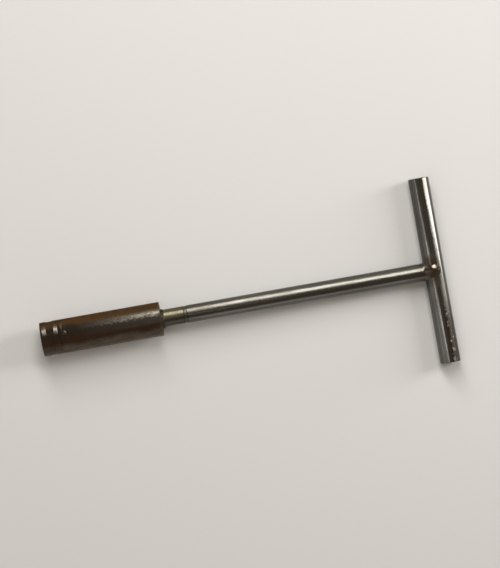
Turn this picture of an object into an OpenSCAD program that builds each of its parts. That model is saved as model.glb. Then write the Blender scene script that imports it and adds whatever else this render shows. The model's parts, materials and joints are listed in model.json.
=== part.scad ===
// Fire hydrant wrench: a welded T-handled key with a deep pentagon socket.
// It lies along +X, from the socket's mouth at the origin to the handle, which runs along Y.

/* [Hydrant nut] */
// Pentagon nut that the socket turns, from a point to the opposite flat
nut_size = 38.1; // [28:0.1:45]
// Play between nut and socket, from a point to the opposite flat
nut_clear = 0.8; // [0.3:0.1:2]
// Depth of the pentagon pocket
nut_depth = 24; // [22:0.5:45]

/* [Drive nose] */
// Wall outside the corners of the pentagon pocket
nose_wall = 3.9; // [3:0.1:10]
// Metal behind the pocket, on which the nut stops
nose_shelf = 4; // [3:0.5:12]
// Bore behind the pocket, which clears the end of the hydrant's stem
stem_bore_d = 30; // [16:1:32]
// Depth of the conical lead-in at the mouth
lead_depth = 2.5; // [1:0.1:5]
// Chamfer round the outside of the mouth
nose_edge = 0.6; // [0.4:0.1:2]
// Mouth to the start of the turned band
band_start = 9; // [4:0.5:10]
// Width of the turned band
band_width = 10; // [3:0.5:12]
// Depth of the turned band
band_depth = 0.7; // [0.3:0.1:1.5]
// Length of the spigot that enters the barrel
spigot_len = 16; // [12:0.5:40]
// Radial play of the spigot in the barrel
spigot_clear = 0.05; // [0.02:0.01:0.2]

/* [Barrel] */
// Length of the tube, behind the nose
barrel_len = 152; // [90:1:300]
// Wall of the tube
barrel_wall = 5; // [4:0.1:7]
// Chamfer round the back of the tube
barrel_edge = 0.6; // [0.4:0.1:2]

/* [Rear plug] */
// Thickness of the disc that closes the tube
plug_t = 20; // [12:0.5:40]
// Radial play of the disc in the tube
plug_clear = 0.05; // [0.02:0.01:0.2]
// Radial play of the shaft's tail in the disc
tail_clear = 0.05; // [0.02:0.01:0.2]

/* [Shaft] */
// Socket mouth to the axis of the handle
reach = 592.5; // [450:0.5:1000]
// Diameter of the round bar
shaft_d = 26.5; // [20:0.1:28]
// Metal turned off the radius of the end next to the socket
turned_cut = 0.2; // [0.1:0.05:1]
// Turned length that shows behind the socket
turned_len = 34.5; // [15:0.5:80]
// Width of the ring groove that ends the turned length
ring_w = 5; // [2:0.1:10]
// Depth of the ring groove below the turned surface
ring_depth = 0.5; // [0.2:0.1:1.5]
// Length of the tail that stands inside the barrel
tail_out = 6; // [5.5:0.5:20]
// Chamfer on the tail
tail_edge = 1; // [0.3:0.1:1.4]

/* [Handle] */
// Diameter of the cross bar
handle_d = 31; // [29:0.1:42]
// Length of the cross bar
handle_len = 278; // [160:1:500]
// Chamfer on the ends of the cross bar
handle_edge = 0.8; // [0.4:0.1:3]

/* [Handle weld] */
// Reach of the bead along the shaft, beside the bar
weld_rod_side = 1.5; // [1:0.1:4]
// Reach of the bead along the shaft, on the face
weld_rod_face = 9; // [4:0.1:14]
// Reach of the bead along the shaft, on the back
weld_rod_back = 5; // [3:0.1:10]
// Swell of the bead over the shaft's surface
weld_swell = 1.2; // [0.5:0.1:1.8]
// Rise of the bead's crown over the bar's face
weld_rise = 3.5; // [2:0.1:6]
// End of the bead past the bar's axis, on the face
weld_end_face = 9; // [7:0.1:11]
// End of the bead short of the bar's axis, on the back
weld_end_back = 5; // [4:0.1:7]
// Width of the bead's blend into the bar, beside the shaft
weld_blend_side = 1; // [0.5:0.1:2]
// Width of the bead's blend into the bar, on the face
weld_blend_face = 8; // [5:0.1:10]
// Width of the bead's blend into the bar, on the back
weld_blend_back = 2; // [1:0.1:3]
// Extra width of the face's blend on one side of the shaft, taken off the other
weld_lean = 3; // [0:0.1:4]

/* [Socket welds] */
// Reach of the neck bead along the shaft
neck_rod = 5; // [2:0.1:8]
// Mean reach of the neck bead over the back of the socket
neck_face = 1.9; // [1:0.1:3]
// Sag of the neck bead towards one side
neck_sag = 0.9; // [0:0.1:0.9]
// Depth of the seam between nose and barrel
seam_depth = 1.8; // [1:0.1:2.5]
// How far the seam's weld lies below the surface
seam_sunk = 0.5; // [0.2:0.1:0.8]
// Bevel of the weld groove at the back of the barrel
rear_bevel = 2.5; // [1.5:0.1:3]
// Reach of the fillet inside the barrel
inner_leg = 4; // [2:0.1:5]
// Rise of a ring weld's crown
weld_crown = 0.3; // [0.1:0.1:0.6]
// Diameter of the plug welds that pin the nose
plug_weld_d = 6.5; // [5:0.5:10]
// Rise of a plug weld above the barrel
plug_weld_crown = 0.6; // [0.3:0.1:1.5]
// Number of plug welds
plug_weld_count = 3; // [1:1:4]
// Turn of the first plug weld from the top of the barrel
plug_weld_turn = -11; // [-40:1:40]

/* [Hidden] */
$fn = 96;

// A regular pentagon measures its corner radius plus its inner radius from point to flat
NUT_SIDES = 5;
NUT_HALF = 180 / NUT_SIDES;
nut_r = (nut_size + nut_clear) / (1 + cos(NUT_HALF));
nut_inner_r = nut_r * cos(NUT_HALF);

// Radii of the socket, from the nut outwards
barrel_r = nut_r + nose_wall;
bore_r = barrel_r - barrel_wall;
spigot_r = bore_r - spigot_clear;
plug_r = bore_r - plug_clear;

// Places along the tool
nose_len = nut_depth + nose_shelf;
rear_x = nose_len + barrel_len;
plug_front_x = rear_x - plug_t;
plug_weld_x = nose_len + spigot_len / 2;
tail_x = plug_front_x - tail_out;
ring_x = rear_x + turned_len;

// Radii of the shaft and the handle
shaft_r = shaft_d / 2;
turned_r = shaft_r - turned_cut;
ring_r = turned_r - ring_depth;
tail_bore_r = turned_r + tail_clear;
handle_r = handle_d / 2;

// Cuts run past the surface that they open by this much
OVER = 1;
// Points along the crown of a ring weld
CROWN_STEPS = 6;
// Sections round the handle's bead, and points along each
BEAD_SECTIONS = 60;
BEAD_STEPS = 16;
// Place of the bead's crown, from the bar's axis
BEAD_TOP = -3;
// Length of the round at the bead's end, and how far that end draws back beside the crown
BEAD_ROUND = 5;
BEAD_NOSE = 7;
// The bead starts just below the shaft's surface and ends below the bar's, and its root lies deeper
BEAD_SINK = 0.15;
BEAD_BURY = 3;
BEAD_ROOT = 2;
// Least width of the bead's blend, at its end
BEAD_TOE = 0.5;

function unit(v) = v / norm(v);

// Points of a low arch from a to b that rises by h to the left of that line
function arch(a, b, h) =
    let (along = b - a, left = unit([-along[1], along[0]]))
    [for (i = [0:CROWN_STEPS])
        let (s = i / CROWN_STEPS)
        a + along * s + left * (4 * h * s * (1 - s))];

// Turns an outline of [radius, x] points round the tool's own axis
module turned(outline) {
    rotate([0, 90, 0])
        rotate_extrude()
            polygon(outline);
}

// A cylinder on the tool's own axis
module round_x(r, from_x, to_x) {
    translate([from_x, 0, 0])
        rotate([0, 90, 0])
            cylinder(r = r, h = to_x - from_x);
}

// The cross bar without its chamfers
module round_handle(r) {
    translate([reach, 0, 0])
        rotate([90, 0, 0])
            cylinder(r = r, h = handle_len, center = true);
}

// Places its children pointing outwards at each plug weld
module at_plug_welds() {
    for (i = [0:plug_weld_count - 1])
        rotate([plug_weld_turn + i * 360 / plug_weld_count, 0, 0])
            translate([plug_weld_x, 0, 0])
                children();
}

module nut_pocket() {
    translate([-OVER, 0, 0])
        rotate([0, 90, 0])
            rotate(180)
                cylinder(r = nut_r, h = nut_depth + OVER, $fn = NUT_SIDES);
}

// The lead-in runs from the pocket's corners at the mouth down to its flats
module lead_in() {
    slope = (nut_r - nut_inner_r) / lead_depth;
    turned([
        [0, -OVER],
        [nut_r + slope * OVER, -OVER],
        [nut_inner_r, lead_depth],
        [0, lead_depth]
    ]);
}

module drive_nose() {
    band_end = band_start + band_width;
    spigot_end = nose_len + spigot_len;
    spigot_edge = nose_edge;
    color("#4a3a2c")
    difference() {
        turned([
            [0, 0],
            [barrel_r - nose_edge, 0],
            [barrel_r, nose_edge],
            [barrel_r, band_start],
            [barrel_r - band_depth, band_start + band_depth],
            [barrel_r - band_depth, band_end - band_depth],
            [barrel_r, band_end],
            [barrel_r, nose_len - seam_depth],
            [barrel_r - seam_depth, nose_len],
            [spigot_r, nose_len],
            [spigot_r, spigot_end - spigot_edge],
            [spigot_r - spigot_edge, spigot_end],
            [0, spigot_end]
        ]);
        nut_pocket();
        lead_in();
        round_x(stem_bore_d / 2, 0, spigot_end + OVER);
    }
}

// The weld fills the seam's groove to just below the surface
module nose_weld() {
    half_w = seam_depth - seam_sunk;
    top_r = barrel_r - seam_sunk;
    color("#5c5a44")
    turned(concat(
        [[barrel_r - seam_depth, nose_len]],
        arch([top_r, nose_len + half_w], [top_r, nose_len - half_w], weld_crown)
    ));
}

// Each button fills its hole in the barrel, sits on the spigot and ends in a low dome
module plug_welds() {
    r = plug_weld_d / 2;
    top = barrel_r + plug_weld_crown;
    dome_r = (r * r + plug_weld_crown * plug_weld_crown) / (2 * plug_weld_crown);
    color("#8a7a60")
    difference() {
        at_plug_welds()
            intersection() {
                cylinder(r = r, h = top);
                translate([0, 0, top - dome_r])
                    sphere(r = dome_r);
            }
        round_x(spigot_r, nose_len, nose_len + spigot_len);
    }
}

module barrel() {
    color("#3b2f26")
    difference() {
        turned([
            [bore_r, nose_len],
            [barrel_r - seam_depth, nose_len],
            [barrel_r, nose_len + seam_depth],
            [barrel_r, rear_x - barrel_edge],
            [barrel_r - barrel_edge, rear_x],
            [bore_r + rear_bevel, rear_x],
            [bore_r, rear_x - rear_bevel]
        ]);
        at_plug_welds()
            cylinder(d = plug_weld_d, h = barrel_r + OVER);
    }
}

module rear_plug() {
    color("#4d4640")
    turned([
        [tail_bore_r, plug_front_x],
        [plug_r, plug_front_x],
        [plug_r, rear_x - rear_bevel],
        [plug_r - rear_bevel, rear_x],
        [tail_bore_r, rear_x]
    ]);
}

module rear_weld() {
    color("#5c5a44")
    turned(concat(
        [[bore_r, rear_x - rear_bevel], [plug_r, rear_x - rear_bevel]],
        arch([plug_r - rear_bevel, rear_x], [bore_r + rear_bevel, rear_x], weld_crown)
    ));
}

module inner_weld() {
    color("#5c5a44")
    turned(concat(
        [[turned_r, plug_front_x]],
        arch([turned_r + inner_leg, plug_front_x], [turned_r, plug_front_x - inner_leg], weld_crown)
    ));
}

// The bead sags, so it stands further out on one side of the shaft than on the other
module neck_weld() {
    toe_r = turned_r + neck_face;
    color("#7d6f52")
    difference() {
        translate([0, -neck_sag, 0])
            turned(concat(
                [[0, rear_x], [0, rear_x + neck_rod]],
                arch([turned_r - neck_sag, rear_x + neck_rod], [toe_r, rear_x], weld_crown)
            ));
        round_x(turned_r, rear_x - OVER, rear_x + neck_rod + OVER);
    }
}

// The shaft's far end is cut to the round of the handle that it meets
module shaft() {
    color("#6f665a")
    difference() {
        turned([
            [0, tail_x],
            [turned_r - tail_edge, tail_x],
            [turned_r, tail_x + tail_edge],
            [turned_r, ring_x],
            [ring_r, ring_x + ring_depth],
            [ring_r, ring_x + ring_w - ring_depth],
            [shaft_r, ring_x + ring_w],
            [shaft_r, reach],
            [0, reach]
        ]);
        round_handle(handle_r);
    }
}

// A smooth rise from 0 to 1
function ease(u) = let (v = min(1, max(0, u))) v * v * (3 - 2 * v);

// A quarter round that falls away from 0 to 1
function round_off(u) = let (v = min(1, max(0, u))) 1 - sqrt(1 - v * v);

// The greater of two sizes, with a smooth change from one to the other
function smooth_max(a, b, blend) = max(a, b) + pow(max(0, blend - abs(a - b)), 2) / (4 * blend);

// One section of the bead, at angle t round the shaft: 0 beside the bar, 90 on the face and 270 on the back.
// It is a round like the shaft's that swells, rises over the bar, rounds off and blends into the bar,
// and its last point is the root. Distances across are from the bar's axis.
function bead_section(t) =
    let (
        face = sin(t) > 0,
        share = abs(sin(t)),
        rod = face ? weld_rod_face : weld_rod_back,
        rise = face ? weld_rise : 0,
        last = face ? weld_end_face : -weld_end_back,
        blend_far = face ? weld_blend_face - weld_lean * cos(t) : weld_blend_back,
        base_r = shaft_r - BEAD_SINK,
        bar_r = handle_r - BEAD_SINK,
        meet = -sqrt(handle_r * handle_r - pow(shaft_r * share, 2)),
        foot = -sqrt(handle_r * handle_r - shaft_r * shaft_r) - rod,
        start = meet - weld_rod_side - (rod - weld_rod_side) * share * share,
        inset = BEAD_NOSE * cos(t) * cos(t),
        end = last - inset,
        width = weld_blend_side + (blend_far - weld_blend_side) * share
    )
    concat(
        [for (i = [0:BEAD_STEPS])
            let (
                across = start + (end - start) * sin(90 * i / BEAD_STEPS),
                fall = round_off((across - end) / BEAD_ROUND + 1),
                lift = rise * ease((across - foot) / (BEAD_TOP - foot)) - (rise + BEAD_BURY) * fall,
                round_r = base_r + weld_swell * ease((across - start) / (meet - start)),
                half = sqrt(max(0, bar_r * bar_r - across * across)),
                blend = BEAD_TOE + width * (1 - fall),
                r = min(smooth_max(round_r, max(0, half - lift) / share, blend), round_r + blend)
            )
            [reach + across, r * cos(t), (face ? lift : -lift) + r * sin(t)]],
        [[reach + meet, (base_r - BEAD_ROOT) * cos(t), (base_r - BEAD_ROOT) * sin(t)]]
    );

// The bead follows the saddle where the shaft meets the bar, and lies on both
module handle_weld() {
    m = BEAD_STEPS + 2;
    n = BEAD_SECTIONS;
    points = [for (i = [0:n - 1]) each bead_section((i + 0.5) * 360 / n)];
    faces = [for (i = [0:n - 1], j = [0:m - 1])
        let (
            p = i * m + j,
            q = i * m + (j + 1) % m,
            r = (i + 1) % n * m + (j + 1) % m,
            s = (i + 1) % n * m + j
        )
        each [[p, q, r], [p, r, s]]];
    color("#6a5742")
    difference() {
        polyhedron(points, faces);
        round_x(shaft_r, ring_x + ring_w, reach);
        round_handle(handle_r);
    }
}

module handle_bar() {
    half = handle_len / 2;
    color("#77716a")
    translate([reach, 0, 0])
        rotate([90, 0, 0])
            rotate_extrude()
                polygon([
                    [0, -half],
                    [handle_r - handle_edge, -half],
                    [handle_r, -half + handle_edge],
                    [handle_r, half - handle_edge],
                    [handle_r - handle_edge, half],
                    [0, half]
                ]);
}

drive_nose();
nose_weld();
plug_welds();
barrel();
rear_plug();
rear_weld();
inner_weld();
neck_weld();
shaft();
handle_weld();
handle_bar();
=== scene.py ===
"""A fire hydrant wrench: finishes, weld beads, stage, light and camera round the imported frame."""
import json
import math

import bpy
import numpy as np
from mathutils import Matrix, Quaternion, Vector, noise


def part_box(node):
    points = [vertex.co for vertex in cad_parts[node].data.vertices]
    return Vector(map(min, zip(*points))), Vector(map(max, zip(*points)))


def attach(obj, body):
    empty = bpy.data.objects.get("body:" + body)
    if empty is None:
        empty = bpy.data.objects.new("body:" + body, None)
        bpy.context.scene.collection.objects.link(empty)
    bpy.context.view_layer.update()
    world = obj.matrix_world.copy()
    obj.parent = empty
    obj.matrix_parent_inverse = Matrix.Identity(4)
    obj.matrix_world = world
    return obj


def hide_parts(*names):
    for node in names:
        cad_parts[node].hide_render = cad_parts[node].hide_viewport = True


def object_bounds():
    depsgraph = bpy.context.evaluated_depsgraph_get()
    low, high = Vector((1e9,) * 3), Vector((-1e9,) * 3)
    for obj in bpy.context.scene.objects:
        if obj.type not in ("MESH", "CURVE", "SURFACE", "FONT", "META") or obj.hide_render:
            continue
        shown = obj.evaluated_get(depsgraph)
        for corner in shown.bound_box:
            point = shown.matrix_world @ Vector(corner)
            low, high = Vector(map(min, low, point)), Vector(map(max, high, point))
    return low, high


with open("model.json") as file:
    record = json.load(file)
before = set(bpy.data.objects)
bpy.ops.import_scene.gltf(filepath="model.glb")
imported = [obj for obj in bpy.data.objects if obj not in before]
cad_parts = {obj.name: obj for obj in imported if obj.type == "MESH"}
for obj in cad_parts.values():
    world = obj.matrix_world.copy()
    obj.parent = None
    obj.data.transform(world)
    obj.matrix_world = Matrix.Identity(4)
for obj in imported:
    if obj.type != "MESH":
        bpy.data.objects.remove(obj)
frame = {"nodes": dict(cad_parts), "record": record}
CAD_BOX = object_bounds()
MM = 0.001


# Sizes read from the frame, in metres. The tool lies along X with its mouth at 0, and its handle along Y.

BARREL_LOW, BARREL_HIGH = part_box("barrel")
SHAFT_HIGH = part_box("shaft")[1]
BAR_LOW, BAR_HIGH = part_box("handle_bar")
NECK_LOW, NECK_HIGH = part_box("neck_weld")
SEAM_LOW, SEAM_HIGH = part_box("nose_weld")
REAR_LOW, REAR_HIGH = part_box("rear_weld")

BARREL_R = BARREL_HIGH[1]
SHAFT_R = SHAFT_HIGH[1]
BAR_R = (BAR_HIGH[2] - BAR_LOW[2]) / 2
BAR_HALF = BAR_HIGH[1]
REACH = (BAR_LOW[0] + BAR_HIGH[0]) / 2
NOSE_END = BARREL_LOW[0]
REAR_X = BARREL_HIGH[0]

# Sizes of the source that the frame's boxes don't give
TURNED_CUT = 0.2 * MM
TURNED_LEN = 34.5 * MM
RING_W = 5 * MM
LIP_W = 1.2 * MM
BAND_START = 9 * MM
BAND_WIDTH = 10 * MM
BARREL_EDGE = 0.6 * MM
REAR_BEVEL = 2.5 * MM
TURNED_R = SHAFT_R - TURNED_CUT
RING_X = REAR_X + TURNED_LEN
RING_END = RING_X + RING_W
BAND_END = BAND_START + BAND_WIDTH


# Node graphs

# How gradually a cell is chosen to hold a spot
SPOT_FADE = 0.2


class Graph:
    """One material's node graph, with short calls for the nodes that the finishes use."""

    def __init__(self, name):
        self.material = bpy.data.materials.new(name)
        self.material.use_nodes = True
        self.tree = self.material.node_tree
        self.shader = self.tree.nodes["Principled BSDF"]
        self.place = self.add("ShaderNodeTexCoord").outputs["Object"]
        split = self.add("ShaderNodeSeparateXYZ")
        self.feed(split.inputs[0], self.place)
        self.x, self.y, self.z = split.outputs

    def add(self, kind, **settings):
        """A new node with the given settings."""
        node = self.tree.nodes.new(kind)
        for key, value in settings.items():
            setattr(node, key, value)
        return node

    def feed(self, socket, value):
        """Links a socket to another socket, or sets it to a number or a colour."""
        if isinstance(value, bpy.types.NodeSocket):
            self.tree.links.new(value, socket)
        elif isinstance(value, tuple):
            socket.default_value = (*value, 1.0)
        else:
            socket.default_value = value

    def math(self, operation, a, b=0.0, clamp=False):
        """One operation on two values; clamp keeps its result between 0 and 1."""
        node = self.add("ShaderNodeMath", operation=operation, use_clamp=clamp)
        self.feed(node.inputs[0], a)
        self.feed(node.inputs[1], b)
        return node.outputs[0]

    def both(self, a, b):
        """The product of two masks."""
        return self.math("MULTIPLY", a, b)

    def either(self, a, b):
        """The greater of two masks."""
        return self.math("MAXIMUM", a, b)

    def scaled(self, value, factor):
        """A value times a number."""
        return self.math("MULTIPLY", value, factor)

    def shifted(self, value, texture, size):
        """A value that a texture moves up and down, over the given size in all."""
        return self.math("ADD", value, self.scaled(self.math("SUBTRACT", texture, 0.5), size))

    def distance(self, a, b):
        """The length of a line that goes a in one direction and b in the other."""
        squares = self.math("ADD", self.math("POWER", a, 2.0), self.math("POWER", b, 2.0))
        return self.math("SQRT", squares)

    def stretched(self, scale):
        """The place on the object, scaled by its own factor along each axis."""
        node = self.add("ShaderNodeVectorMath", operation="MULTIPLY")
        self.feed(node.inputs[0], self.place)
        node.inputs[1].default_value = scale
        return node.outputs[0]

    def noise(self, scale, detail, roughness=0.55):
        """Cloudy noise between 0 and 1, with about scale repeats per metre along each axis."""
        node = self.add("ShaderNodeTexNoise")
        self.feed(node.inputs["Vector"], self.stretched(scale))
        node.inputs["Scale"].default_value = 1.0
        node.inputs["Detail"].default_value = detail
        node.inputs["Roughness"].default_value = roughness
        return node.outputs["Fac"]

    def spots(self, scale, size, soft, share):
        """Round spots with a soft edge, in a share of the cells that the scale makes in the XY plane."""
        node = self.add("ShaderNodeTexVoronoi", voronoi_dimensions="2D")
        self.feed(node.inputs["Vector"], self.stretched(scale))
        node.inputs["Scale"].default_value = 1.0
        lot = self.add("ShaderNodeSeparateColor")
        self.feed(lot.inputs[0], node.outputs["Color"])
        chosen = self.step(lot.outputs[0], 1 - share, 1 - share + SPOT_FADE)
        return self.both(chosen, self.step(node.outputs["Distance"], size + soft, size))

    def step(self, value, low, high):
        """0 below low and 1 above high, with a smooth rise between; falls where low is above high."""
        node = self.add("ShaderNodeMapRange", interpolation_type="SMOOTHSTEP")
        self.feed(node.inputs["Value"], value)
        rising = low < high
        node.inputs["From Min"].default_value = low if rising else high
        node.inputs["From Max"].default_value = high if rising else low
        node.inputs["To Min"].default_value = 0.0 if rising else 1.0
        node.inputs["To Max"].default_value = 1.0 if rising else 0.0
        return node.outputs["Result"]

    def band(self, value, low, high, soft):
        """1 between low and high, falling to 0 over the soft distance outside."""
        rise = self.step(value, low - soft, low)
        fall = self.step(value, high + soft, high)
        return self.both(rise, fall)

    def mix(self, share, a, b, most=1.0):
        """A colour that goes from a towards b with the share, up to the most that b may take."""
        node = self.add("ShaderNodeMix", data_type="RGBA")
        self.feed(node.inputs["Factor"], share if most == 1.0 else self.scaled(share, most))
        self.feed(node.inputs[6], a)
        self.feed(node.inputs[7], b)
        return node.outputs[2]

    def blend(self, share, a, b):
        """A number that goes from a to b with the share."""
        node = self.add("ShaderNodeMix", data_type="FLOAT")
        self.feed(node.inputs["Factor"], share)
        self.feed(node.inputs[2], a)
        self.feed(node.inputs[3], b)
        return node.outputs[0]

    def bump(self, height, depth, under=None):
        """A bump of the given depth in metres, over an earlier one."""
        node = self.add("ShaderNodeBump")
        node.inputs["Strength"].default_value = 1.0
        node.inputs["Distance"].default_value = depth
        self.feed(node.inputs["Height"], height)
        if under is not None:
            self.feed(node.inputs["Normal"], under)
        return node.outputs["Normal"]

    def finish(self, colour, roughness, normal, metallic=1.0, specular=0.5):
        """Gives the shader its inputs, and returns the material."""
        self.feed(self.shader.inputs["Base Color"], colour)
        self.feed(self.shader.inputs["Roughness"], roughness)
        self.feed(self.shader.inputs["Metallic"], metallic)
        self.feed(self.shader.inputs["Specular IOR Level"], specular)
        self.feed(self.shader.inputs["Normal"], normal)
        return self.material


# Finishes. Colours are linear reflectances of the bare or oxidised steel; a few also hold painted reflection
# and painted shade, named where they stand. In the names below, MOST is the greatest share that a mask
# reaches, ROUGH a roughness and METAL a metallic share. EDGE is a pair of texture values between which a mask
# rises, and a pair that ends in X, Y or Z bounds a zone along that axis.

# Noise textures: repeats per metre along X, Y and Z, then detail and, for some, roughness
SHAFT_PATCHES = ((14, 70, 70), 5.0)
SHAFT_LINES = ((9, 1500, 1500), 2.0)
SHAFT_WAVES = ((22, 60, 60), 3.0)
TURNED_LINES = ((2600, 40, 40), 2.0)
TURNED_MOTTLE = ((420, 60, 60), 4.0, 0.6)
HANDLE_PATCHES = ((70, 12, 70), 5.0)
HANDLE_LINES = ((1500, 9, 1500), 2.0)
HANDLE_WAVES = ((55, 20, 55), 3.0)
SAW_MARKS = ((900, 1, 60), 3.0)
OXIDE_CLOUDS = ((30, 60, 60), 6.0, 0.6)
OXIDE_FLECKS = ((330, 420, 420), 3.0, 0.6)
OXIDE_PATCHES = ((22, 90, 90), 5.0, 0.6)
OXIDE_SCALE = ((190, 260, 260), 5.0, 0.62)
BARREL_GRAIN = ((300, 420, 420), 4.0, 0.65)
LAND_RUBS = ((420, 90, 90), 5.0, 0.65)
NOSE_LINES = ((2200, 30, 30), 2.0)
WELD_PATCHES = ((90, 90, 90), 4.0)
WELD_GRAIN = ((700, 700, 700), 3.0)
WELD_SOOT = ((420, 420, 420), 3.0)
FLOOR_GRAIN = ((3, 3, 3), 3.0)

# Values that several finishes share
TOP_DARK = (0.0165, 0.0115, 0.0075)
TEMPER_BROWN = (0.062, 0.042, 0.026)
FILM_BROWN = (0.042, 0.027, 0.0150)
FILM_OLIVE = (0.044, 0.036, 0.025)
FILM_Y = (4 * MM, -8 * MM)
FILM_METAL = 0.45
WORN_STEEL = (0.108, 0.098, 0.079)
WORN_METAL = 0.95
LINE_EDGE = (0.3, 0.7)
LINE_DEPTH = 0.03 * MM
WAVE_DEPTH = 0.35 * MM


def heat_film(g):
    """Colour of the film that the handle's weld leaves: brown on one side and olive on the other."""
    return g.mix(g.step(g.y, *FILM_Y), FILM_BROWN, FILM_OLIVE)


# The drawn bar of the shaft, brown where the handle's weld heated it
SHAFT_STEEL = (0.108, 0.1045, 0.0925)
SHAFT_DULL = (0.078, 0.069, 0.055)
SHAFT_PATCH_EDGE = (0.42, 0.66)
SHAFT_PATCH_MOST = 0.75
SHAFT_HEAT_X = (REACH - 30 * MM, REACH - 20 * MM)
SHAFT_HEAT_MOST = 0.35
SHAFT_ROUGH = (0.17, 0.26)
SHAFT_PATCH_ROUGH = 0.30


def drawn_bar(g):
    """Drawn bright bar, dulled by handling and by the weld's heat: colour, roughness, lines and waves."""
    patches = g.step(g.noise(*SHAFT_PATCHES), *SHAFT_PATCH_EDGE)
    colour = g.mix(patches, SHAFT_STEEL, SHAFT_DULL, SHAFT_PATCH_MOST)
    colour = g.mix(g.step(g.x, *SHAFT_HEAT_X), colour, TEMPER_BROWN, SHAFT_HEAT_MOST)
    lines = g.noise(*SHAFT_LINES)
    roughness = g.blend(g.step(lines, *LINE_EDGE), *SHAFT_ROUGH)
    roughness = g.blend(patches, roughness, SHAFT_PATCH_ROUGH)
    return colour, roughness, lines, g.noise(*SHAFT_WAVES)


# The turned end of the shaft with painted shade towards -Y, the groove that ends it, and the groove's two
# lips, drawn as dark lines of painted shade
STRAW = (0.100, 0.088, 0.055)
STRAW_PAINTED_SHADE = (0.056, 0.049, 0.037)
STRAW_SHADE_Y = (1 * MM, -6 * MM)
STRAW_MOST = 0.85
TURNED_X = (REAR_X - 30 * MM, RING_X)
TURNED_SOFT = 0.4 * MM
TURNED_EDGE = (0.30, 0.70)
TURNED_ROUGH = (0.27, 0.36)
GROOVE_GREY = (0.080, 0.071, 0.056)
GROOVE_X = (RING_X + 0.3 * MM, RING_END - 0.3 * MM)
GROOVE_SOFT = 0.3 * MM
GROOVE_ROUGH = 0.38
LIP_SOFT = 0.2 * MM
LIP_SHADE_MOST = 0.6


def shaft_finish():
    """The drawn bar of the shaft, straw-tinted on its turned end, with painted shade towards -Y there and at
    the groove's edges.
    """
    g = Graph("shaft_steel")
    colour, roughness, lines, waves = drawn_bar(g)
    turned = g.band(g.x, *TURNED_X, TURNED_SOFT)
    # Painted shade: the straw tint turns darker towards -Y.
    straw_with_shade = g.mix(g.step(g.y, *STRAW_SHADE_Y), STRAW, STRAW_PAINTED_SHADE)
    colour = g.mix(turned, colour, straw_with_shade, STRAW_MOST)
    groove = g.band(g.x, *GROOVE_X, GROOVE_SOFT)
    colour = g.mix(groove, colour, GROOVE_GREY)
    # Painted shade: dark lines at the groove's two edges.
    lip_shades = [g.band(g.x, edge - LIP_W / 2, edge + LIP_W / 2, LIP_SOFT) for edge in (RING_X, RING_END)]
    colour = g.mix(g.either(*lip_shades), colour, TOP_DARK, LIP_SHADE_MOST)
    mottle = g.step(g.noise(*TURNED_MOTTLE), *TURNED_EDGE)
    roughness = g.blend(turned, roughness, g.blend(mottle, *TURNED_ROUGH))
    roughness = g.blend(groove, roughness, GROOVE_ROUGH)
    scratches = g.blend(turned, lines, g.noise(*TURNED_LINES))
    normal = g.bump(waves, WAVE_DEPTH)
    normal = g.bump(scratches, LINE_DEPTH, normal)
    return g.finish(colour, roughness, normal)


# The handle: bright bar with a heat film beside the weld, painted shade on the -X flank of its +Y half, and
# sawn ends
CLEAN_STEEL = (0.130, 0.127, 0.117)
DULL_STEEL = (0.088, 0.078, 0.063)
HANDLE_PATCH_EDGE = (0.45, 0.70)
HANDLE_PATCH_MOST = 0.7
HEAT_Y = (29 * MM, 12 * MM)
HEAT_UNEVEN = 16 * MM
HEAT_X = (REACH + 9 * MM, REACH + 3 * MM)
FLANK_PAINTED_SHADE = (0.058, 0.052, 0.045)
SHADED_FLANK_X = (REACH - 6 * MM, REACH - 12 * MM)
SHADED_FLANK_Y = (0.0, 25 * MM)
FLANK_SHADE_MOST = 0.6
SAWN_Y = (BAR_HALF - 0.5 * MM, BAR_HALF - 0.1 * MM)
HANDLE_ROUGH = (0.10, 0.16)
HANDLE_PATCH_ROUGH = 0.20
SAWN_ROUGH = 0.42
HANDLE_WAVE_DEPTH = 0.22 * MM
HANDLE_LINE_DEPTH = 0.04 * MM

# Rust on the outer side of the handle's lower half, with a row of large and small pits.
# A pit's size and soft edge are shares of its cell.
RUST_BROWN = (0.070, 0.055, 0.041)
RUST_X = (REACH, REACH + 5 * MM)
RUST_Y = (-45 * MM, -75 * MM)
RUST_MOST = 0.75
PALE_RUST = (0.105, 0.096, 0.094)
LARGE_PITS = {"scale": (200, 170, 0), "size": 0.04, "soft": 0.40, "share": 0.60}
SMALL_PITS = {"scale": (420, 380, 0), "size": 0.06, "soft": 0.38, "share": 0.20}
PIT_ROW_X = (REACH + 5.5 * MM, REACH + 9 * MM)
PIT_ROW_SOFT = 2.5 * MM
PIT_DEPTH = 0.05 * MM
PIT_ROUGH = 0.55
PIT_METAL = 0.15


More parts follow.
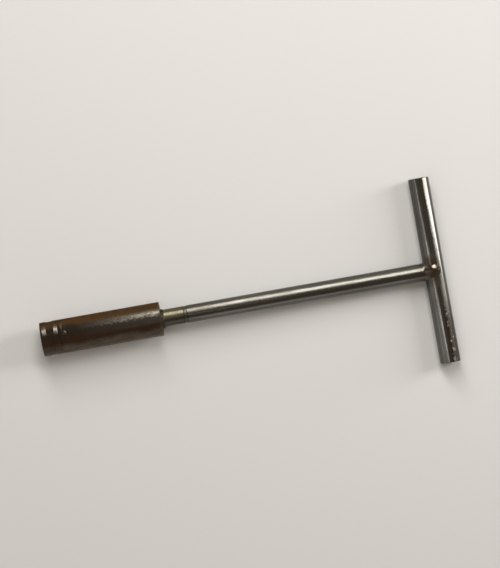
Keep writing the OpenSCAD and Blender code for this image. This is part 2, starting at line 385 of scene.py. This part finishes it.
def handle_finish():
    """Drawn bright bar, polished by hands, with painted shade on one flank, rust pits on its lower half and
    sawn ends.
    """
    g = Graph("handle_steel")
    patches = g.step(g.noise(*HANDLE_PATCHES), *HANDLE_PATCH_EDGE)
    colour = g.mix(patches, CLEAN_STEEL, DULL_STEEL, HANDLE_PATCH_MOST)
    along = g.math("ABSOLUTE", g.y)
    warm = g.shifted(along, g.noise(*WELD_PATCHES), HEAT_UNEVEN)
    heat = g.both(g.step(warm, *HEAT_Y), g.step(g.x, *HEAT_X))
    colour = g.mix(heat, colour, heat_film(g))
    # Painted shade: the -X flank of the +Y half is darker.
    flank_shade = g.both(g.step(g.x, *SHADED_FLANK_X), g.step(g.y, *SHADED_FLANK_Y))
    colour = g.mix(flank_shade, colour, FLANK_PAINTED_SHADE, FLANK_SHADE_MOST)
    lower = g.step(g.y, *RUST_Y)
    rust = g.both(lower, g.step(g.x, *RUST_X))
    colour = g.mix(rust, colour, RUST_BROWN, RUST_MOST)
    row = g.band(g.x, *PIT_ROW_X, PIT_ROW_SOFT)
    spots = g.either(g.spots(**LARGE_PITS), g.spots(**SMALL_PITS))
    pits = g.both(spots, g.both(lower, row))
    colour = g.mix(pits, colour, PALE_RUST)
    lines = g.noise(*HANDLE_LINES)
    sawn = g.step(along, *SAWN_Y)
    roughness = g.blend(g.step(lines, *LINE_EDGE), *HANDLE_ROUGH)
    roughness = g.blend(patches, roughness, HANDLE_PATCH_ROUGH)
    roughness = g.blend(pits, roughness, PIT_ROUGH)
    roughness = g.blend(sawn, roughness, SAWN_ROUGH)
    normal = g.bump(g.noise(*HANDLE_WAVES), HANDLE_WAVE_DEPTH)
    normal = g.bump(g.blend(sawn, lines, g.noise(*SAW_MARKS)), HANDLE_LINE_DEPTH, normal)
    normal = g.bump(g.scaled(pits, -1.0), PIT_DEPTH, normal)
    metallic = g.blend(pits, g.blend(heat, 1.0, FILM_METAL), PIT_METAL)
    return g.finish(colour, roughness, normal, metallic)


# Oxidised steel of the socket, with painted reflection and painted shade across its width: over the dark
# oxide, the lighter brown
# +Y flank and the grey to pale -Y flank are painted reflections, the darker +Y edge is painted shade, and a
# reddish band lies just below the middle towards -Y. Each tone has the places where it starts and where it is
# full, as shares of the barrel's radius.
FLANK_REFLECTION_BROWN = (0.056, 0.027, 0.0085)
EDGE_SHADE_DARK = (0.027, 0.0130, 0.0042)
LOW_RED = (0.030, 0.0150, 0.0075)
LOW_REFLECTION_GREY = (0.110, 0.088, 0.066)
LOW_REFLECTION_PALE = (0.190, 0.172, 0.145)
OXIDE_AND_LIGHT_TONES = [
    (0.42, 0.68, FLANK_REFLECTION_BROWN),
    (0.80, 1.05, EDGE_SHADE_DARK),
    (0.10, -0.35, LOW_RED),
    (-0.40, -0.80, LOW_REFLECTION_GREY),
    (-0.80, -1.00, LOW_REFLECTION_PALE),
]
CLOUD_SHIFT = 12 * MM
FLECK_SHIFT = 5 * MM
OXIDE_PATCH_EDGE = (0.40, 0.66)
OXIDE_PATCH_MOST = 0.35
BARE_EDGE = (0.56, 0.70)
BARE_MOST = 0.12
SCALE_EDGE = (0.35, 0.7)
SCALE_ROUGH = (0.55, 0.75)
SCALE_DEPTH = 0.08 * MM
OXIDE_SPECULAR = 0.05
OXIDE_METAL = 0.15


def oxide_and_painted_light(g):
    """Brown-black oxidised steel of the socket, with painted reflections on both flanks and painted shade at
    the +Y edge: colour, roughness and height.
    """
    side = g.shifted(g.y, g.noise(*OXIDE_CLOUDS), CLOUD_SHIFT)
    side = g.shifted(side, g.noise(*OXIDE_FLECKS), FLECK_SHIFT)
    colour = TOP_DARK
    # Painted reflection and painted shade: the tone follows the side across the width.
    for start, full, tone in OXIDE_AND_LIGHT_TONES:
        colour = g.mix(g.step(side, start * BARREL_R, full * BARREL_R), colour, tone)
    patches = g.step(g.noise(*OXIDE_PATCHES), *OXIDE_PATCH_EDGE)
    colour = g.mix(patches, colour, TOP_DARK, OXIDE_PATCH_MOST)
    scale = g.noise(*OXIDE_SCALE)
    colour = g.mix(g.step(scale, *BARE_EDGE), colour, WORN_STEEL, BARE_MOST)
    roughness = g.blend(g.step(scale, *SCALE_EDGE), *SCALE_ROUGH)
    return colour, roughness, scale


# Where the barrel is rubbed: more and more from RUB_START to its back, over a narrow bright zone and a wide
# faint one; a little just behind the seam; and on the back rim
RUB_START = 52 * MM
RUB_GAIN = 1.15
RUB_Y = (8 * MM, 13 * MM)
RUB_SOFT = 4 * MM
RUB_BREAK = 20 * MM
RUB_EDGE = (0.38, 0.58)
RUB_SHINE = (0.40, 1.0)
RUB_ROUGH = 0.28
WIDE_Y = (-3 * MM, 13 * MM)
WIDE_MOST = 0.20
SEAM_RUB_X = (31 * MM, 33 * MM)
SEAM_RUB_Y = (13 * MM, 18 * MM)
SEAM_RUB_SOFT = 1 * MM
SEAM_RUB_MOST = 0.38
BACK_RIM_X = (REAR_X - 1.4 * BARREL_EDGE, REAR_X)
BACK_RIM_SOFT = 0.4 * MM
BACK_RIM_MOST = 0.25


def barrel_finish():
    """Oxidised tube, rubbed to a broken shine towards the shaft and on its back rim."""
    g = Graph("barrel_steel")
    colour, roughness, scale = oxide_and_painted_light(g)
    normal = g.bump(scale, SCALE_DEPTH)
    past_start = g.math("SUBTRACT", g.x, RUB_START)
    ramp = g.math("MULTIPLY", past_start, RUB_GAIN / (REAR_X - RUB_START), clamp=True)
    grain = g.noise(*BARREL_GRAIN)
    broken = g.shifted(g.y, grain, RUB_BREAK)
    rubbed = g.both(ramp, g.band(broken, *RUB_Y, RUB_SOFT))
    shine = g.both(rubbed, g.blend(g.step(grain, *RUB_EDGE), *RUB_SHINE))
    rim = g.band(g.x, *BACK_RIM_X, BACK_RIM_SOFT)
    wide = g.both(ramp, g.band(g.y, *WIDE_Y, RUB_SOFT))
    seam = g.both(g.band(g.x, *SEAM_RUB_X, SEAM_RUB_SOFT), g.band(broken, *SEAM_RUB_Y, RUB_SOFT))
    worn = g.either(shine, g.scaled(rim, BACK_RIM_MOST))
    worn = g.either(worn, g.scaled(wide, WIDE_MOST))
    worn = g.either(worn, g.scaled(seam, SEAM_RUB_MOST))
    colour = g.mix(worn, colour, WORN_STEEL)
    roughness = g.blend(worn, roughness, RUB_ROUGH)
    metallic = g.blend(worn, OXIDE_METAL, WORN_METAL)
    return g.finish(colour, roughness, normal, metallic, OXIDE_SPECULAR)


# The nose's two lands, before and behind its dark band, and where across its width they are rubbed
FRONT_LAND_X = (3.2 * MM, BAND_START - 0.5 * MM)
FRONT_LAND_SOFT = 1.0 * MM
FRONT_LAND_MOST = 0.88
BACK_LAND_X = (BAND_END + 1.8 * MM, NOSE_END - 1.8 * MM)
BACK_LAND_SOFT = 0.6 * MM
BACK_LAND_MOST = 0.95
LAND_Y = (9 * MM, 15 * MM)
LAND_SOFT = 5.5 * MM
LAND_EDGE = (0.26, 0.46)
LAND_ROUGH = 0.26
NOSE_LINE_DEPTH = 0.03 * MM

# Radii between which the outside of the nose begins
NOSE_OUTSIDE = (BARREL_R - 1.2 * MM, BARREL_R - 0.8 * MM)


def nose_finish():
    """The turned collar: lands rubbed bright, the band between them still dark, a rough pocket."""
    g = Graph("nose_steel")
    colour, roughness, scale = oxide_and_painted_light(g)
    normal = g.bump(scale, SCALE_DEPTH)
    front = g.scaled(g.band(g.x, *FRONT_LAND_X, FRONT_LAND_SOFT), FRONT_LAND_MOST)
    back = g.scaled(g.band(g.x, *BACK_LAND_X, BACK_LAND_SOFT), BACK_LAND_MOST)
    outside = g.step(g.distance(g.y, g.z), *NOSE_OUTSIDE)
    lands = g.both(g.either(front, back), outside)
    rubs = g.step(g.noise(*LAND_RUBS), *LAND_EDGE)
    worn = g.both(lands, g.both(rubs, g.band(g.y, *LAND_Y, LAND_SOFT)))
    colour = g.mix(worn, colour, WORN_STEEL)
    roughness = g.blend(worn, roughness, LAND_ROUGH)
    normal = g.bump(g.noise(*NOSE_LINES), NOSE_LINE_DEPTH, normal)
    metallic = g.blend(worn, OXIDE_METAL, WORN_METAL)
    return g.finish(colour, roughness, normal, metallic, OXIDE_SPECULAR)


# The bead at the handle: bright like the shaft where it starts, then tempered metal under the heat film
WELD_DARK = (0.060, 0.049, 0.037)
WELD_PATCH_EDGE = (0.32, 0.70)
WELD_FILM_X = (REACH - 10 * MM, REACH - 5 * MM)
WELD_START_X = (REACH - 5 * MM, REACH - 13 * MM)
WELD_START_UNEVEN = 1.5 * MM
WELD_ROUGH = (0.17, 0.24)
WELD_GRAIN_HEIGHT = 0.3

# The rubbed oval on the bead's crown: its middle, from where the axes of shaft and bar meet, its half sizes
# and, as shares of these, the start and end of its soft edge
WELD_STEEL = (0.130, 0.120, 0.104)
CROWN_X = 1.2 * MM
CROWN_Y = 6.8 * MM
CROWN_LONG = 6 * MM
CROWN_WIDE = 2.8 * MM
CROWN_FADE = (1.3, 0.8)
CROWN_Z = (BAR_R - 2 * MM, BAR_R - 1 * MM)

# The welds of the socket: sooty at the neck, oxidised further forward and darkened on the plug welds
NECK_OLIVE = (0.055, 0.047, 0.030)
NECK_X = (RING_X + 30 * MM, RING_X)
NECK_ROUGH = 0.42
NECK_METAL = 0.6
SOOT_EDGE = (0.35, 0.65)
SOCKET_X = (NOSE_END + 60 * MM, NOSE_END + 40 * MM)
PLUG_DARK = (0.050, 0.043, 0.033)
PLUG_X = (NOSE_END + 2 * MM, NOSE_END + 4 * MM)
PLUG_MOST = 0.85
PLUG_SOOT_MOST = 0.5
PLUG_ROUGH = 0.32
PLUG_METAL = 0.8


def crown_mask(g):
    """Where the crown of the handle's bead is rubbed bright."""
    far = g.scaled(g.math("SUBTRACT", g.x, REACH + CROWN_X), 1 / CROWN_LONG)
    aside = g.scaled(g.math("SUBTRACT", g.y, CROWN_Y), 1 / CROWN_WIDE)
    return g.both(g.step(g.distance(far, aside), *CROWN_FADE), g.step(g.z, *CROWN_Z))


def bead_look(g):
    """The handle's bead, from the shaft's bright bar to its rubbed crown: colour, roughness, metallic,
    and the heights of its waves and of its grain and lines."""
    patches = g.step(g.noise(*WELD_PATCHES), *WELD_PATCH_EDGE)
    crown = crown_mask(g)
    bar_colour, bar_roughness, lines, waves = drawn_bar(g)
    along = g.math("ADD", g.x, g.scaled(patches, WELD_START_UNEVEN))
    start = g.step(along, *WELD_START_X)
    colour = g.mix(patches, WELD_DARK, TEMPER_BROWN)
    colour = g.mix(g.step(g.x, *WELD_FILM_X), colour, heat_film(g))
    colour = g.mix(crown, colour, WELD_STEEL)
    colour = g.mix(start, colour, bar_colour)
    grain = g.noise(*WELD_GRAIN)
    roughness = g.blend(g.step(grain, *LINE_EDGE), *WELD_ROUGH)
    roughness = g.blend(start, roughness, bar_roughness)
    filmed = g.both(g.math("SUBTRACT", 1.0, crown), g.math("SUBTRACT", 1.0, start))
    metallic = g.blend(filmed, 1.0, FILM_METAL)
    fine = g.blend(start, g.scaled(grain, WELD_GRAIN_HEIGHT), lines)
    return colour, roughness, metallic, g.both(waves, start), fine


def weld_finish():
    """Weld metal: tempered brown at the handle with a rubbed crown, dull and oxidised on the socket, with the
    socket's painted reflections.
    """
    g = Graph("weld_metal")
    colour, roughness, metallic, waves, fine = bead_look(g)
    neck = g.step(g.x, *NECK_X)
    soot = g.step(g.noise(*WELD_SOOT), *SOOT_EDGE)
    colour = g.mix(neck, colour, g.mix(soot, NECK_OLIVE, TOP_DARK))
    roughness = g.blend(neck, roughness, NECK_ROUGH)
    metallic = g.blend(neck, metallic, NECK_METAL)
    socket = g.step(g.x, *SOCKET_X)
    plug = g.step(g.x, *PLUG_X)
    scale_and_light_colour, scale_roughness, scale = oxide_and_painted_light(g)
    plug_colour = g.mix(soot, PLUG_DARK, TOP_DARK, PLUG_SOOT_MOST)
    colour = g.mix(socket, colour, g.mix(plug, scale_and_light_colour, plug_colour, PLUG_MOST))
    roughness = g.blend(socket, roughness, g.blend(plug, scale_roughness, PLUG_ROUGH))
    metallic = g.blend(socket, metallic, g.blend(plug, OXIDE_METAL, PLUG_METAL))
    normal = g.bump(g.both(scale, socket), SCALE_DEPTH)
    normal = g.bump(waves, WAVE_DEPTH, normal)
    normal = g.bump(fine, LINE_DEPTH, normal)
    return g.finish(colour, roughness, normal, metallic, OXIDE_SPECULAR)


FINISHES = {
    "nose_steel": nose_finish(),
    "barrel_steel": barrel_finish(),
    "shaft_steel": shaft_finish(),
    "handle_steel": handle_finish(),
    "weld_metal": weld_finish(),
}


def dress_nodes():
    """Gives each CAD node the finish of its slot in the record."""
    for part in frame["record"]["subparts"]:
        node = frame["nodes"][part["node"]]
        for slot in node.material_slots:
            slot.material = FINISHES[part["material_slot"]]


# Weld beads

# Ripples: how far they curve back at the bead's edges, how deep and how sharp the gaps between them are
RIPPLE_CURVE = 1.4
RIPPLE_FALL = 4.0
RIPPLE_SHARP = 1.5


def tube_mesh(name, sections):
    """A closed mesh from a ring of closed sections, given as an array of sections, points and places."""
    count, across = sections.shape[:2]
    faces = []
    for i in range(count):
        j = (i + 1) % count
        for k in range(across):
            m = (k + 1) % across
            faces.append((i * across + k, j * across + k, j * across + m, i * across + m))
    mesh = bpy.data.meshes.new(name)
    mesh.from_pydata(sections.reshape(-1, 3).tolist(), [], faces)
    mesh.validate()
    mesh.polygons.foreach_set("use_smooth", [True] * len(mesh.polygons))
    mesh.update()
    piece = bpy.data.objects.new(name, mesh)
    bpy.context.collection.objects.link(piece)
    return piece


def add_weld(piece, node):
    """Puts a bead in the place of its CAD node."""
    piece.data.materials.append(FINISHES["weld_metal"])
    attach(piece, "root")
    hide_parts(node)


def ripple(turn, across, count):
    """Height of the ripples that a weld pool leaves, curved back towards the bead's edges."""
    phase = turn * count + RIPPLE_CURVE * (2 * across - 1) ** 2
    return 1.0 - RIPPLE_FALL * abs(phase % 1.0 - 0.5) ** RIPPLE_SHARP


def unevenness(place, size):
    """A smooth wobble between -1 and 1 at about the given size in metres."""
    return noise.noise(Vector(place) / size)


def ease(u):
    """A smooth rise from 0 to 1."""
    v = min(1.0, max(0.0, u))
    return v * v * (3 - 2 * v)


def round_off(u):
    """A quarter round that falls away from 0 to 1."""
    v = min(1.0, max(0.0, u))
    return 1.0 - math.sqrt(1.0 - v * v)


def smooth_max(a, b, blend):
    """The greater of two sizes, with a smooth change from one to the other."""
    return max(a, b) + max(0.0, blend - abs(a - b)) ** 2 / (4 * blend)


# The bead at the handle, by the rule of the CAD weld, mainly with a smaller swell and a shorter blend: a
# round like the shaft's that swells, rises over the bar, rounds off behind the bar's ridge and blends into
# the bar. It is plainer on the bar's back.
BEAD_FACE = {
    "rod": 9 * MM,  # length on the shaft
    "foot": 9 * MM,  # where it starts to rise, before the bar
    "rise": 3.6 * MM,  # height of the rise
    "end": 9.5 * MM,  # far edge, from the bar's axis
    "blend": 3 * MM,  # size of the blend into the bar
    "lean": 1.5 * MM,  # what the blend gains towards -Y and loses towards +Y
}
BEAD_BACK = {
    "rod": 5 * MM,
    "foot": 5 * MM,
    "rise": 0.0,
    "end": -5 * MM,
    "blend": 2 * MM,
    "lean": 0.0,
}
BEAD_ROD_SIDE = 1.5 * MM  # length on the shaft's sides
BEAD_BLEND_SIDE = 1 * MM  # size of the blend at the shaft's sides
BEAD_SWELL = 0.12 * MM  # growth of the round up to the bar
BEAD_TOP = -2.5 * MM  # where the rise is full, from the bar's axis
BEAD_ROUND = 5.5 * MM  # length of the round at the far edge
BEAD_NOSE = 7 * MM  # how much sooner the far edge comes at the sides
BEAD_BURY = 3 * MM  # how far below the round's own level the far edge falls
BEAD_TOE = 0.5 * MM  # least size of the blend
BEAD_SINK = 0.06 * MM  # depth of the first edge inside the shaft
BEAD_TUCK = 0.15 * MM  # depth of its edges inside the bar
BEAD_ROOT = 2 * MM  # depth of the hidden root below the first edge
BEAD_TURNS = 240
BEAD_STEPS = 80

# Its fine ripples and wobble, which fade in and out along each section
BEAD_RIPPLES = 26
BEAD_RIPPLE_H = 0.004 * MM
BEAD_WOBBLE_H = 0.04 * MM
BEAD_WOBBLE = 6 * MM
BEAD_FADE_START = 0.2
BEAD_FADE = 0.3


def bead_section(t):
    """One section of the handle's bead, at angle t round the shaft: from the shaft's surface into the bar.
    Distances across are from the bar's axis."""
    size = BEAD_FACE if math.sin(t) > 0 else BEAD_BACK
    upward = 1.0 if math.sin(t) > 0 else -1.0
    share = abs(math.sin(t))
    base_r = SHAFT_R - BEAD_SINK
    meet = -math.sqrt(BAR_R ** 2 - (SHAFT_R * share) ** 2)
    foot = -math.sqrt(BAR_R ** 2 - SHAFT_R ** 2) - size["foot"]
    start = meet - BEAD_ROD_SIDE - (size["rod"] - BEAD_ROD_SIDE) * share ** 2
    end = size["end"] - BEAD_NOSE * math.cos(t) ** 2
    reach = BEAD_BLEND_SIDE + (size["blend"] - BEAD_BLEND_SIDE - size["lean"] * math.cos(t)) * share
    points = []
    for i in range(BEAD_STEPS + 1):
        s = math.sin(i / BEAD_STEPS * math.pi / 2)
        across = start + (end - start) * s
        fall = round_off((across - end) / BEAD_ROUND + 1)
        lift = size["rise"] * ease((across - foot) / (BEAD_TOP - foot)) - (size["rise"] + BEAD_BURY) * fall
        round_r = base_r + BEAD_SWELL * ease((across - start) / (meet - start))
        half = math.sqrt(max(0.0, (BAR_R - BEAD_TUCK) ** 2 - across ** 2))
        blend = BEAD_TOE + reach * (1 - fall)
        r = min(smooth_max(round_r, max(0.0, half - lift) / share, blend), round_r + blend)
        place = (REACH + across, r * math.cos(t), upward * lift + r * math.sin(t))
        height = BEAD_RIPPLE_H * ripple(s, t / math.pi % 1.0, BEAD_RIPPLES)
        height += BEAD_WOBBLE_H * unevenness(place, BEAD_WOBBLE)
        r += height * ease((s - BEAD_FADE_START) / BEAD_FADE) * ease((1 - s) / BEAD_FADE)
        points.append((REACH + across, r * math.cos(t), upward * lift + r * math.sin(t)))
    root_r = base_r - BEAD_ROOT
    points.append((REACH + meet, root_r * math.cos(t), root_r * math.sin(t)))
    return points


def handle_bead():
    """The bead that joins the shaft to the handle."""
    turns = [(i + 0.5) * math.tau / BEAD_TURNS for i in range(BEAD_TURNS)]
    add_weld(tube_mesh("handle_bead", np.array([bead_section(t) for t in turns])), "handle_weld")


# Ring beads of the socket: points round and across, the ripples' height as a share of the crown, and the
# size of the wobble
RING_TURNS = 360
RING_STEPS = 10
RING_RIPPLE = 0.5
RING_WOBBLE = 4 * MM
SEAM_CROWN = 0.3 * MM
REAR_CROWN = 0.3 * MM
NECK_CROWN = 0.45 * MM
NECK_SINK = 0.2 * MM
NECK_ROOT = (TURNED_R - 1 * MM, REAR_X + 0.1 * MM)


def ring_bead(name, node, start, end, root, crown, ripples, wobble, sag=0.0):
    """A bead round the tool's axis: an arch from start to end, closed by its root, each given as (radius, x).
    It leans out by sag towards -Y."""
    start = np.array(start)
    along = np.array(end) - start
    out = np.array([-along[1], along[0]])
    out = out / np.linalg.norm(out)
    root_r, root_x = root
    sections = []
    for i in range(RING_TURNS):
        turn = i / RING_TURNS
        t = turn * math.tau
        lean = sag * (1 - math.cos(t)) / 2
        section = []
        for k in range(RING_STEPS + 1):
            s = k / RING_STEPS
            arch = 4 * s * (1 - s)
            r, x = start + along * s + out * arch * crown
            place = (x, r * math.cos(t), r * math.sin(t))
            height = RING_RIPPLE * crown * ripple(turn, s, ripples) + wobble * unevenness(place, RING_WOBBLE)
            r += out[0] * arch * height + lean * s
            x += out[1] * arch * height
            section.append((x, r * math.cos(t), r * math.sin(t)))
        section.append((root_x, root_r * math.cos(t), root_r * math.sin(t)))
        sections.append(section)
    add_weld(tube_mesh(name, np.array(sections)), node)


def socket_beads():
    """The ring welds of the socket: in the nose's seam, round the back plug and at the neck."""
    seam_x = (SEAM_LOW[0] + SEAM_HIGH[0]) / 2
    seam_half = (SEAM_HIGH[0] - SEAM_LOW[0]) / 2
    seam_r = SEAM_HIGH[1] - SEAM_CROWN
    ring_bead(
        "nose_bead", "nose_weld",
        start=(seam_r, SEAM_HIGH[0]),
        end=(seam_r, SEAM_LOW[0]),
        root=(seam_r - seam_half, seam_x),
        crown=SEAM_CROWN,
        ripples=70,
        wobble=0.10 * MM,
    )
    ring_bead(
        "rear_bead", "rear_weld",
        start=(REAR_HIGH[1] - 2 * REAR_BEVEL, REAR_X),
        end=(REAR_HIGH[1], REAR_X),
        root=(REAR_HIGH[1] - REAR_BEVEL, REAR_LOW[0]),
        crown=REAR_CROWN,
        ripples=44,
        wobble=0.12 * MM,
    )
    ring_bead(
        "neck_bead", "neck_weld",
        start=(TURNED_R - NECK_SINK, NECK_HIGH[0]),
        end=(NECK_HIGH[1], REAR_X),
        root=NECK_ROOT,
        crown=NECK_CROWN,
        ripples=26,
        wobble=0.35 * MM,
        sag=-(NECK_LOW[1] + NECK_HIGH[1]),
    )


# Stage: a pale floor that the tool lies on, rising into a pale wall

FLOOR_FLAT = 5.0
FLOOR_CURVE = 1.5
WALL_TOP = 4.5
FLOOR_GAP = 0.1 * MM
FLOOR_EASE = 0.1
FLOOR_TONE = (0.64, 0.637, 0.630)
SPECK_TONE = (0.68, 0.677, 0.670)
SPECK_MOST = 0.10
FAR_TONE = (0.78, 0.775, 0.765)
FLOOR_ROUGH = 0.9
FLOOR_SPECULAR = 0.1

# Distances from its middle between which the floor passes into its far tone
NEAR_FLOOR = 0.9
FAR_FLOOR = 3.0

# The floor's mesh: the radius of its middle face, and its points along each stretch and round it
FLOOR_MIDDLE = 0.02
NEAR_POINTS = 40
FLAT_POINTS = 20
CURVE_POINTS = 13
FLOOR_TURNS = 96


def floor_finish():
    """Matt pale floor near the tool; further off it keeps its own tone for the camera and for reflections."""
    g = Graph("floor")
    tone = g.mix(g.noise(*FLOOR_GRAIN), FLOOR_TONE, SPECK_TONE, SPECK_MOST)
    g.feed(g.shader.inputs["Base Color"], tone)
    g.feed(g.shader.inputs["Roughness"], FLOOR_ROUGH)
    g.feed(g.shader.inputs["Specular IOR Level"], FLOOR_SPECULAR)
    length = g.add("ShaderNodeVectorMath", operation="LENGTH")
    g.feed(length.inputs[0], g.place)
    far = g.step(length.outputs["Value"], NEAR_FLOOR, FAR_FLOOR)
    rays = g.add("ShaderNodeLightPath")
    seen = g.either(rays.outputs["Is Camera Ray"], rays.outputs["Is Glossy Ray"])
    seen = g.either(seen, rays.outputs["Is Transmission Ray"])
    glow = g.add("ShaderNodeEmission")
    g.feed(glow.inputs["Color"], FAR_TONE)
    surface = g.add("ShaderNodeMixShader")
    g.feed(surface.inputs[0], g.both(far, seen))
    g.feed(surface.inputs[1], g.shader.outputs[0])
    g.feed(surface.inputs[2], glow.outputs[0])
    g.feed(g.tree.nodes["Material Output"].inputs["Surface"], surface.outputs[0])
    return g.material


def floor_profile():
    """Radius and height along the floor, its curve and the wall."""
    near = [(r, 0.0) for r in np.linspace(FLOOR_MIDDLE, NEAR_FLOOR, NEAR_POINTS)]
    flat = [(r, 0.0) for r in np.linspace(NEAR_FLOOR, FLOOR_FLAT, FLAT_POINTS)[1:]]
    curve = [(FLOOR_FLAT + FLOOR_CURVE * math.sin(a), FLOOR_CURVE * (1 - math.cos(a)))
             for a in np.linspace(0, math.pi / 2, CURVE_POINTS)[1:]]
    return near + flat + curve + [(FLOOR_FLAT + FLOOR_CURVE, WALL_TOP)]


def floor_height(x):
    """Height of the floor at x: it touches the back rim of the barrel and the underside of the handle,
    and is level beyond both ends of the tool."""
    rim_x = REAR_X - BARREL_EDGE
    span = math.hypot(REACH - rim_x, BARREL_R)
    slope = math.atan2(BARREL_R, REACH - rim_x) - math.asin(BAR_R / span)
    along = smooth_max(x, -FLOOR_EASE, FLOOR_EASE)
    along = -smooth_max(-along, -(BAR_HIGH[0] + FLOOR_EASE), FLOOR_EASE)
    return -BARREL_R - FLOOR_GAP + math.tan(slope) * (along - rim_x)


def add_floor():
    """Lays the floor under the tool."""
    profile = floor_profile()
    across = len(profile)
    middle = (CAD_BOX[0][0] + CAD_BOX[1][0]) / 2
    points = [(r * math.cos(t), r * math.sin(t), h + floor_height(middle + r * math.cos(t)))
              for t in np.linspace(0, math.tau, FLOOR_TURNS, endpoint=False) for r, h in profile]
    faces = []
    for i in range(FLOOR_TURNS):
        j = (i + 1) % FLOOR_TURNS
        for k in range(across - 1):
            a = i * across + k
            b = j * across + k
            faces.append((a, a + 1, b + 1, b))
    faces.append([i * across for i in range(FLOOR_TURNS)])
    mesh = bpy.data.meshes.new("floor")
    mesh.from_pydata(points, [], faces)
    mesh.polygons.foreach_set("use_smooth", [True] * len(mesh.polygons))
    mesh.materials.append(floor_finish())
    floor = bpy.data.objects.new("floor", mesh)
    floor.location = (middle, 0.0, 0.0)
    bpy.context.collection.objects.link(floor)


# Light: places and sizes in metres, powers in watts

WARM_WHITE = (1.0, 0.985, 0.96)
COOL_WHITE = (1.0, 0.995, 0.985)
ROOM_COLOUR = (1.0, 0.84, 0.66, 1.0)
ROOM_STRENGTH = 0.26


def add_softbox(name, place, target, size, power, colour, roll=0):
    """A rectangular softbox at a place, facing a target and rolled by some degrees about that line."""
    lamp = bpy.data.lights.new(name, "AREA")
    lamp.shape = "RECTANGLE"
    lamp.size, lamp.size_y = size
    lamp.energy = power
    lamp.color = colour
    holder = bpy.data.objects.new(name, lamp)
    holder.location = place
    aim = Vector(target) - Vector(place)
    facing = aim.to_track_quat("-Z", "Y") @ Quaternion((0.0, 0.0, 1.0), math.radians(roll))
    holder.rotation_euler = facing.to_euler()
    holder.visible_camera = False
    bpy.context.collection.objects.link(holder)


def light_scene():
    """A warm room, a large window, a box beyond the handle, two weak fills and a weak strip."""
    world = bpy.data.worlds.new("studio")
    world.use_nodes = True
    backdrop = world.node_tree.nodes["Background"]
    backdrop.inputs["Color"].default_value = ROOM_COLOUR
    backdrop.inputs["Strength"].default_value = ROOM_STRENGTH
    bpy.context.scene.world = world
    add_softbox(
        "window",
        place=(0.42, 1.76, 1.92),
        target=(0.40, 0.0, 0.0),
        size=(2.6, 0.7),
        power=57.0,
        colour=WARM_WHITE,
        roll=-60,
    )
    add_softbox(
        "side_box",
        place=(2.89, 0.49, 1.2),
        target=(0.59, 0.49, 1.2),
        size=(0.8, 2.6),
        power=72.0,
        colour=WARM_WHITE,
        roll=-5.5,
    )
    add_softbox(
        "far_fill",
        place=(-1.10, -0.55, 1.70),
        target=(0.59, -0.55, 0.0),
        size=(1.1, 1.94),
        power=3.5,
        colour=COOL_WHITE,
    )
    add_softbox(
        "strip",
        place=(-0.80, 0.004, 2.0),
        target=(-0.80, 0.004, 0.0),
        size=(2.1, 0.12),
        power=2.8,
        colour=COOL_WHITE,
        roll=-12,
    )
    add_softbox(
        "low_fill",
        place=(0.35, -2.3, 0.75),
        target=(0.35, 0.0, 0.0),
        size=(1.6, 0.7),
        power=1.6,
        colour=COOL_WHITE,
    )


# Camera: straight above the tool, turned as the photograph is

IMAGE_W = 500
IMAGE_H = 568
MOUTH_PX = (42.1, 339.85)
HANDLE_PX = (434.27, 270.28)
LENS = 200.0
SENSOR = 36.0
CLIP_END = 60.0


def add_camera():
    """Places the camera so that the mouth and the handle's axis fall on their pixels of the photograph."""
    right = HANDLE_PX[0] - MOUTH_PX[0]
    up = MOUTH_PX[1] - HANDLE_PX[1]
    turn = math.atan2(up, right)
    scale = REACH / math.hypot(right, up)
    to_centre = complex(IMAGE_W / 2 - MOUTH_PX[0], MOUTH_PX[1] - IMAGE_H / 2)
    centre = to_centre * complex(math.cos(turn), -math.sin(turn)) * scale
    lens = bpy.data.cameras.new("camera")
    lens.lens = LENS
    lens.sensor_width = SENSOR
    lens.clip_end = CLIP_END
    camera = bpy.data.objects.new("camera", lens)
    camera.location = (centre.real, centre.imag, IMAGE_H * scale * LENS / SENSOR)
    camera.rotation_euler = (0.0, 0.0, -turn)
    bpy.context.collection.objects.link(camera)
    bpy.context.scene.camera = camera


add_camera()
dress_nodes()
handle_bead()
socket_beads()
add_floor()
light_scene()
bpy.context.scene.view_settings.view_transform = "Standard"
